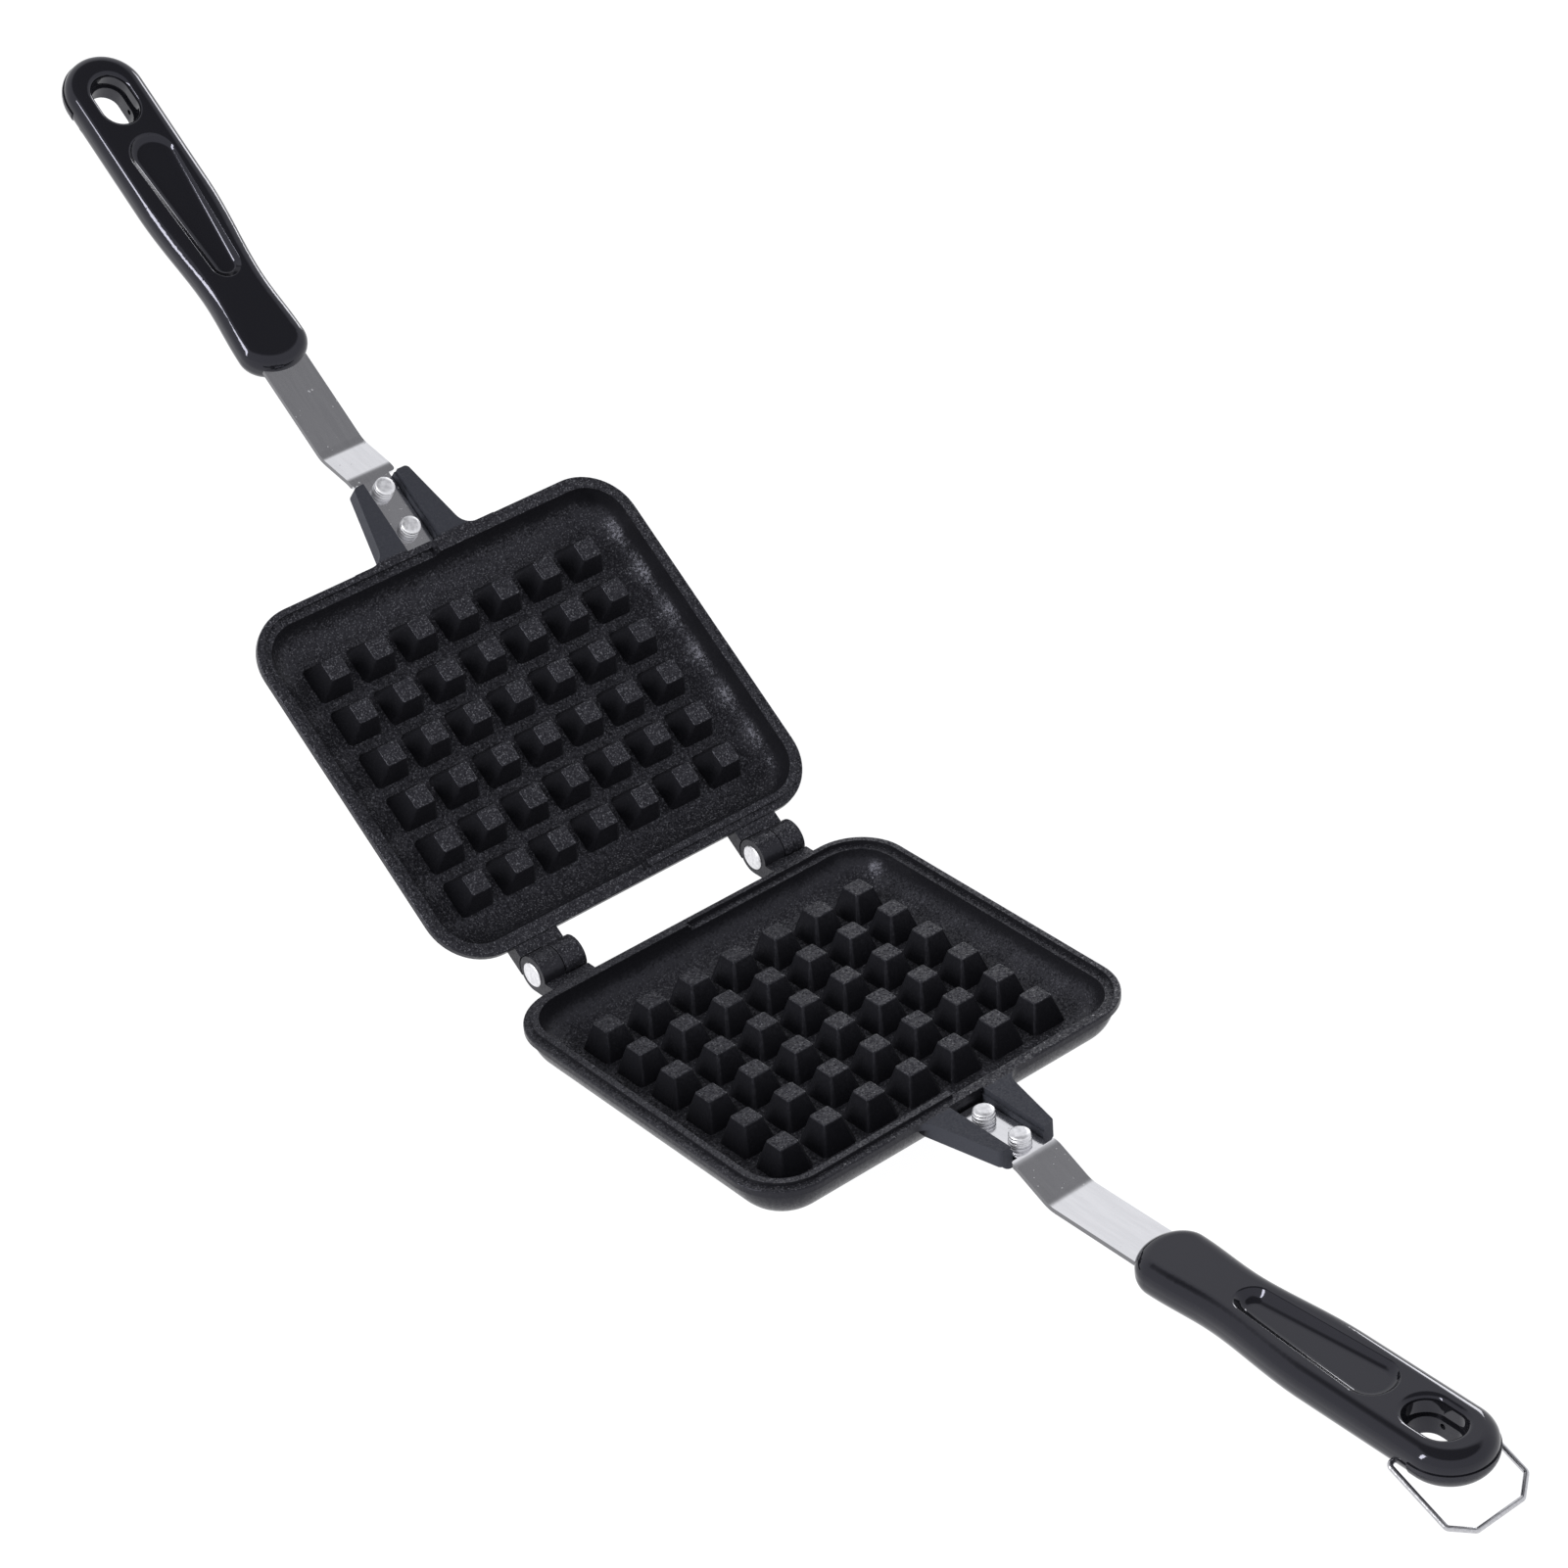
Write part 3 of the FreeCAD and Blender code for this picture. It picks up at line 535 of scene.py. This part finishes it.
class WAFFLE_OT_pins(Operator):
    """Turns the hinge pins with peened ends"""

    bl_idname = "waffle.pins"
    bl_label = "Model the hinge pins"

    def execute(self, context):
        sizes, colours = context.scene.waffle_sizes, context.scene.waffle_colours
        dents = (1100, (1, 1, 1), 0.00005)
        material, shader, marks = metal("hinge_pin", colours.aluminium, colours.steel_dark, *dents)
        vary(material, marks, shader.inputs["Roughness"], *RIVET_ROUGHNESS)
        for node, side in (("hinge_pin_left", -1), ("hinge_pin_right", 1)):
            piece = turned(node + "_turned", self.rings(sizes, side), sizes.sides)
            if side > 0:
                self.slant(sizes)
            hammer(sizes.hammer_marks, 7 + side, sizes.sides // 4)
            close()
            bevel(piece, sizes.small_edge, 35)
            across = Matrix.Rotation(-math.pi / 2, 4, "Y")
            seat(piece, Matrix.Translation(HINGE + Vector((side * sizes.pin_offset, 0, 0))) @ across)
            dress(material, piece.data)
            hand_over(piece, node, "lower_half")
        return {"FINISHED"}

    def rings(self, sizes, side):
        """Rings from the far end to the near one, whose face is dimpled on the left pin."""
        radius, head, half = sizes.pin_radius, sizes.pin_head, sizes.pin_half
        near = PIN_NEAR_END + PIN_DIMPLE if side < 0 else PIN_NEAR_END
        rings = [(r * head, -half - z / 1000) for r, z in PIN_FAR_END]
        rings += [(radius, rings[-1][1]), (radius, half)]
        return rings + [(r * head, half + z / 1000) for r, z in near]

    def slant(self, sizes):
        """Tilts the near end's face, as left by a blow from one side."""
        bpy.ops.transform.rotate(
            value=math.radians(6), orient_axis="X", center_override=(0, 0, sizes.pin_half + 0.0003)
        )


class WAFFLE_OT_wire(Operator):
    """Finishes the bail's wire"""

    bl_idname = "waffle.wire"
    bl_label = "Finish the wire"

    def execute(self, context):
        colours = context.scene.waffle_colours
        marked = (1500, (1, 1, 1), 0.00001)
        material, shader, marks = metal("wire", colours.wire, colours.wire_dark, *marked)
        vary(material, marks, shader.inputs["Roughness"], *WIRE_ROUGHNESS)
        dress(material, frame["nodes"]["locking_bail"].data)
        return {"FINISHED"}


class WAFFLE_OT_stage(Operator):
    """Sets floor, light and camera"""

    bl_idname = "waffle.stage"
    bl_label = "Set the stage"

    def execute(self, context):
        self.set_floor(context)
        self.set_studio(context)
        for name, spot, size, power in SOFTBOXES:
            self.softbox(context, name, spot, size, power)
        self.set_camera(context)
        return {"FINISHED"}

    def set_floor(self, context):
        sizes, colours = context.scene.waffle_sizes, context.scene.waffle_colours
        bpy.ops.mesh.primitive_plane_add(size=sizes.floor_width, location=(0, 0, sizes.floor_level))
        floor = context.object
        floor.name = "floor"
        material, shader = new_material("floor")
        shader.inputs["Base Color"].default_value = (*colours.floor, 1)
        shader.inputs["Roughness"].default_value = 0.9
        shader.inputs["Specular IOR Level"].default_value = 0.0
        shader.inputs["Emission Color"].default_value = (*colours.glow, 1)
        shader.inputs["Emission Strength"].default_value = 1.0
        dress(material, floor.data)

    def set_studio(self, context):
        """Bright walls that darken toward the roof."""
        colours = context.scene.waffle_colours
        world = bpy.data.worlds.new("studio")
        world.use_nodes = True
        nodes, links = world.node_tree.nodes, world.node_tree.links
        coords = nodes.new("ShaderNodeTexCoord")
        split = nodes.new("ShaderNodeSeparateXYZ")
        ramp = nodes.new("ShaderNodeValToRGB")
        walls, roof = ramp.color_ramp.elements
        walls.position, walls.color = WALLS_END, (*colours.sky, 1)
        roof.position, roof.color = ROOF_START, (*colours.roof, 1)
        links.new(coords.outputs["Generated"], split.inputs["Vector"])
        links.new(split.outputs["Z"], ramp.inputs["Fac"])
        links.new(ramp.outputs["Color"], nodes["Background"].inputs["Color"])
        context.scene.world = world

    def softbox(self, context, name, spot, size, power):
        """Rectangular light that faces the object."""
        light = bpy.data.lights.new(name, "AREA")
        light.shape = "RECTANGLE"
        light.size, light.size_y = size
        light.energy = power
        lamp = bpy.data.objects.new(name, light)
        context.scene.collection.objects.link(lamp)
        lamp.location = spot
        lamp.rotation_euler = Vector(spot).to_track_quat("Z", "Y").to_euler()

    def set_camera(self, context):
        sizes = context.scene.waffle_sizes
        data = bpy.data.cameras.new("camera")
        data.lens = sizes.camera_lens
        data.sensor_width = 36.0
        data.clip_end = 100
        camera = bpy.data.objects.new("camera", data)
        context.scene.collection.objects.link(camera)
        spot, aim = Vector(sizes.camera_place), Vector(sizes.camera_aim)
        level = (aim - spot).to_track_quat("-Z", "Y").to_matrix().to_4x4()
        roll = Matrix.Rotation(sizes.camera_roll, 4, "Z")
        camera.matrix_world = Matrix.Translation(spot) @ level @ roll
        context.scene.camera = camera
        context.scene.view_settings.view_transform = "Standard"


class WAFFLE_PT_panel(Panel):
    """Sidebar panel with the pan's settings"""

    bl_idname = "WAFFLE_PT_panel"
    bl_label = "Waffle maker"
    bl_space_type = "VIEW_3D"
    bl_region_type = "UI"
    bl_category = "Waffle maker"

    def draw(self, context):
        layout = self.layout
        for group in (context.scene.waffle_sizes, context.scene.waffle_colours):
            for name in group.__annotations__:
                layout.prop(group, name)
        for operator in OPERATORS:
            layout.operator(operator.bl_idname)


OPERATORS = (
    WAFFLE_OT_plates,
    WAFFLE_OT_straps,
    WAFFLE_OT_grips,
    WAFFLE_OT_rivets,
    WAFFLE_OT_pins,
    WAFFLE_OT_wire,
    WAFFLE_OT_stage,
)
CLASSES = (WaffleSizes, WaffleColours, *OPERATORS, WAFFLE_PT_panel)


def register():
    for cls in CLASSES:
        bpy.utils.register_class(cls)
    bpy.types.Scene.waffle_sizes = PointerProperty(type=WaffleSizes)
    bpy.types.Scene.waffle_colours = PointerProperty(type=WaffleColours)


def unregister():
    del bpy.types.Scene.waffle_colours
    del bpy.types.Scene.waffle_sizes
    for cls in reversed(CLASSES):
        bpy.utils.unregister_class(cls)


def main():
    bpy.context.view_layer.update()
    register()
    bpy.ops.waffle.plates()
    bpy.ops.waffle.straps()
    bpy.ops.waffle.grips()
    bpy.ops.waffle.rivets()
    bpy.ops.waffle.pins()
    bpy.ops.waffle.wire()
    bpy.ops.waffle.stage()


if __name__ == "__main__":
    main()
